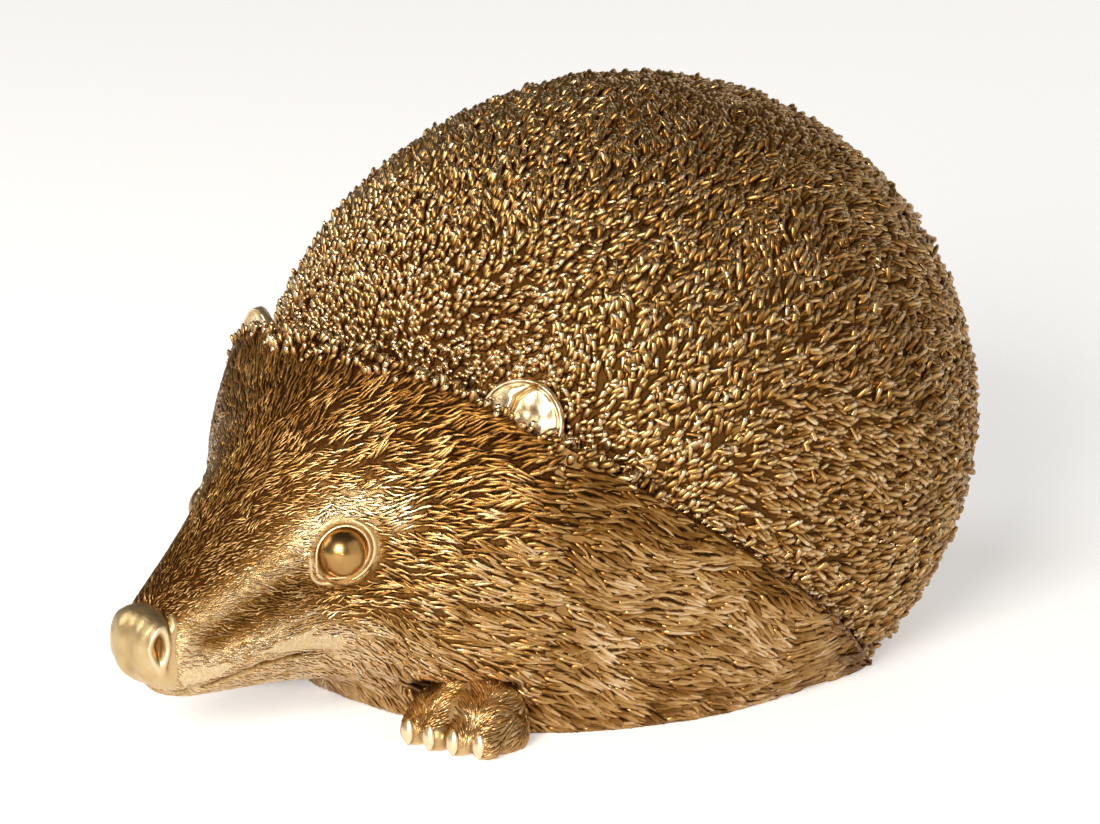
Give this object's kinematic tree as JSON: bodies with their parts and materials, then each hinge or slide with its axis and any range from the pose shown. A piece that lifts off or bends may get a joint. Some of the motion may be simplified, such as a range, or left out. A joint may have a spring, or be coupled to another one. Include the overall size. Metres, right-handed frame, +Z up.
{
  "type": "hedgehog figurine",
  "caption": "Standing hedgehog ornament with a domed coat of quills on a fur casting, set-in head, nose, eyes, ears and front paws, in an antique gold finish",
  "frame": {"origin": "middle of the box on the ground it stands on", "axes": "+Z up, the animal faces -Y, and +X is its left side"},
  "size_m": [0.1212, 0.1788, 0.0996],
  "materials": {
    "gold_quills": "cast resin in antique gold leaf paint, bright on the quill tips and dark brown between them",
    "gold_fur": "cast resin in antique gold paint, engraved fur with brown patina in the grooves",
    "gold_polish": "smooth pale gold, polished",
    "felt": "dark wool felt"
  },
  "bodies": {
    "root": {"quill_coat": "gold_quills", "belly": "gold_fur", "head": "gold_fur", "nose": "gold_polish", "left_eye": "gold_polish", "right_eye": "gold_polish", "left_ear": "gold_polish", "right_ear": "gold_polish", "left_front_paw": "gold_fur", "right_front_paw": "gold_fur", "felt_pad": "felt"}
  },
  "joints": []
}
